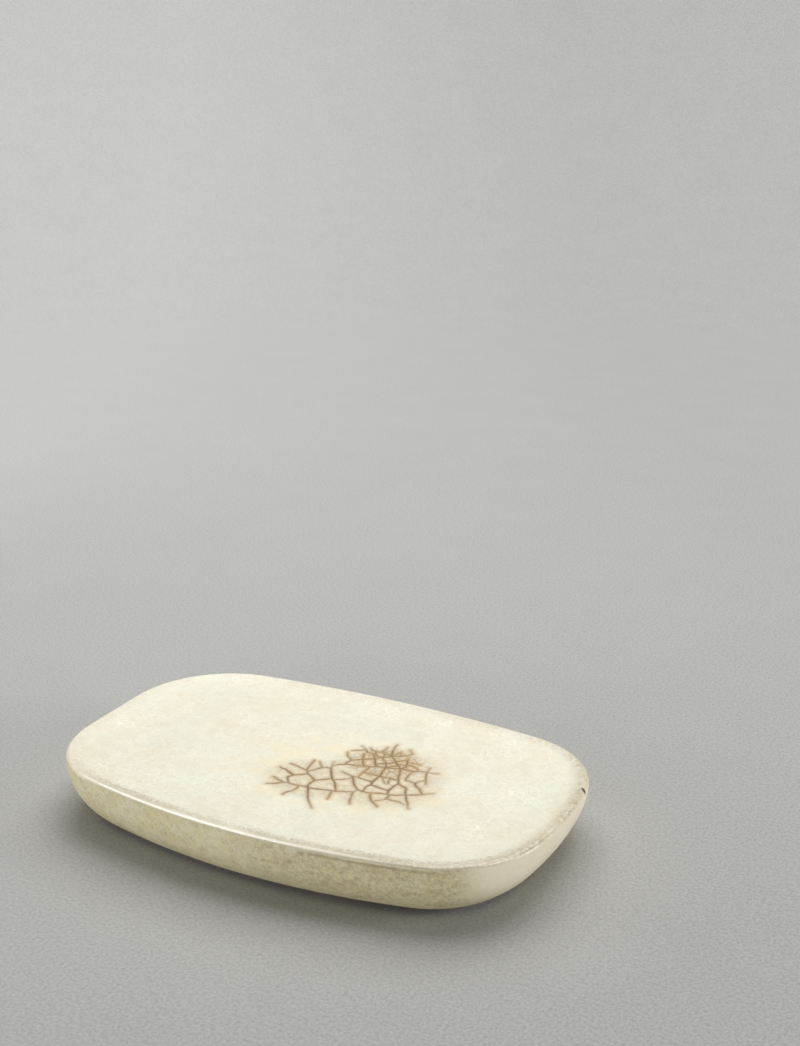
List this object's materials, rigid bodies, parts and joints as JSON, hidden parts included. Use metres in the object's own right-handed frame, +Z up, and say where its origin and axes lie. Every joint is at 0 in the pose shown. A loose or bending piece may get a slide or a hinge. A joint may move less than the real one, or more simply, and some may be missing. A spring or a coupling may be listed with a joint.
{
  "type": "ink stone",
  "caption": "Oblong ceramic ink stone with a shallow dished grinding face, rounded rim, walls that curl under to a low bare foot ring, and a crackled ivory glaze.",
  "frame": {"origin": "centre of the stone's box in plan, at the foot ring's standing face", "axes": "+X along the length, -Y towards the front, the long side that bows out most, +Z up"},
  "size_m": [0.18, 0.1112, 0.022],
  "materials": {
    "fired_clay": "matt, iron-brown fired stoneware, fine open grain",
    "crackle_glaze": "satin gloss ivory celadon glaze with fine pale crackle, ink-stained in one patch",
    "base_glaze": "thin grey-ivory crackled glaze"
  },
  "bodies": {
    "root": {"clay_body": "fired_clay", "glaze_coat": "crackle_glaze", "base_glaze": "base_glaze"}
  },
  "joints": []
}
